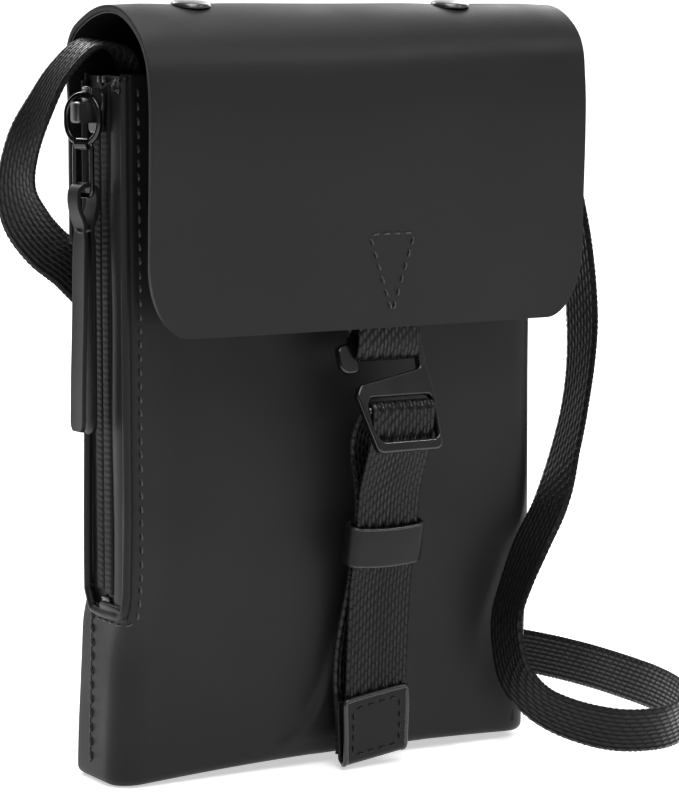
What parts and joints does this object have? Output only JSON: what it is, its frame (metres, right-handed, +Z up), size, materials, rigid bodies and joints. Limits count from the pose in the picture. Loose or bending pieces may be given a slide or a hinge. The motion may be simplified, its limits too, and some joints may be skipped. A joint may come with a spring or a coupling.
{
  "type": "sling bag",
  "caption": "Slim upright sling pouch with a rolled flap, side zip, hook-and-webbing closure and a flat shoulder strap.",
  "frame": {"origin": "middle of the pouch's base, on the surface that the bag stands on", "axes": "+Z up the pouch, +X to the right of the flap's face, the flap's face looks along -Y"},
  "size_m": [0.2087, 0.1618, 0.2175],
  "materials": {
    "leather_body": "matte coated",
    "leather_flap": "matte coated",
    "leather_edge": "satin coated",
    "leather_trim": "matte coated",
    "webbing": "woven nylon",
    "lining": "plain weave",
    "board": "fibre board",
    "zip_tape": "twill tape",
    "zip_coil": "coil",
    "metal_dark": "black satin",
    "metal_gun": "gunmetal"
  },
  "bodies": {
    "pouch": {"front_panel": "leather_body", "back_panel": "leather_body", "base_panel": "leather_body", "lining": "lining", "front_stiffener": "board", "back_stiffener": "board", "mouth_binding": "leather_edge", "window_binding": "leather_edge", "zip_tape_front": "zip_tape", "zip_tape_back": "zip_tape", "zip_facing": "leather_body", "coil_front": "zip_coil", "coil_back": "zip_coil", "zip_top_stops": "metal_gun", "zip_bottom_stop": "metal_gun", "flap_yoke": "leather_flap", "closure_webbing": "webbing", "end_tab": "leather_trim", "strap_anchor_left": "leather_trim", "strap_anchor_right": "leather_trim", "shoulder_strap": "webbing"},
    "flap": {"flap_panel": "leather_flap", "flap_lining": "lining", "flap_rivets": "metal_gun", "rivet_washers": "metal_gun", "flap_patch": "leather_trim", "loop_webbing": "webbing"},
    "hook": {"g_hook": "metal_dark"},
    "keeper": {"keeper": "leather_trim"},
    "zip_slider": {"slider_body": "metal_gun"},
    "zip_bail": {"bail_ring": "metal_dark"},
    "zip_link": {"wire_link": "metal_dark"},
    "zip_pull": {"leather_pull": "leather_trim"},
    "strap_adjuster": {"strap_adjuster": "metal_dark"}
  },
  "joints": [
    {"name": "flap_hinge", "type": "hinge", "parent": "pouch", "child": "flap", "pos_m": [0.001, 0.0133, 0.188], "axis": [-1, 0, 0], "range_deg": [0, 150], "deforming": ["loop_webbing"]},
    {"name": "hook_tilt", "type": "hinge", "parent": "pouch", "child": "hook", "pos_m": [0.009, -0.036, 0.104], "axis": [1, 0, 0], "range_deg": [0, 55], "deforming": ["loop_webbing", "closure_webbing"]},
    {"name": "keeper_slide", "type": "slide", "parent": "pouch", "child": "keeper", "axis": [0, -0.1961, 0.9806], "range_m": [-0.006, 0.006]},
    {"name": "zip_slide", "type": "slide", "parent": "pouch", "child": "zip_slider", "axis": [0, 0, 1], "range_m": [-0.126, 0]},
    {"name": "bail_swing", "type": "hinge", "parent": "zip_slider", "child": "zip_bail", "pos_m": [-0.0732, -0.0035, 0.1914], "axis": [-0.4226, 0.9063, 0], "range_deg": [0, 30]},
    {"name": "link_swing", "type": "hinge", "parent": "zip_bail", "child": "zip_link", "pos_m": [-0.0732, -0.0035, 0.1782], "axis": [-0.4226, 0.9063, 0], "range_deg": [0, 45]},
    {"name": "pull_swing", "type": "hinge", "parent": "zip_link", "child": "zip_pull", "pos_m": [-0.0732, -0.0035, 0.1642], "axis": [-0.4226, 0.9063, 0], "range_deg": [0, 80]},
    {"name": "adjuster_slide", "type": "slide", "parent": "pouch", "child": "strap_adjuster", "axis": [1, 0, 0], "range_m": [-0.006, 0.006]}
  ]
}
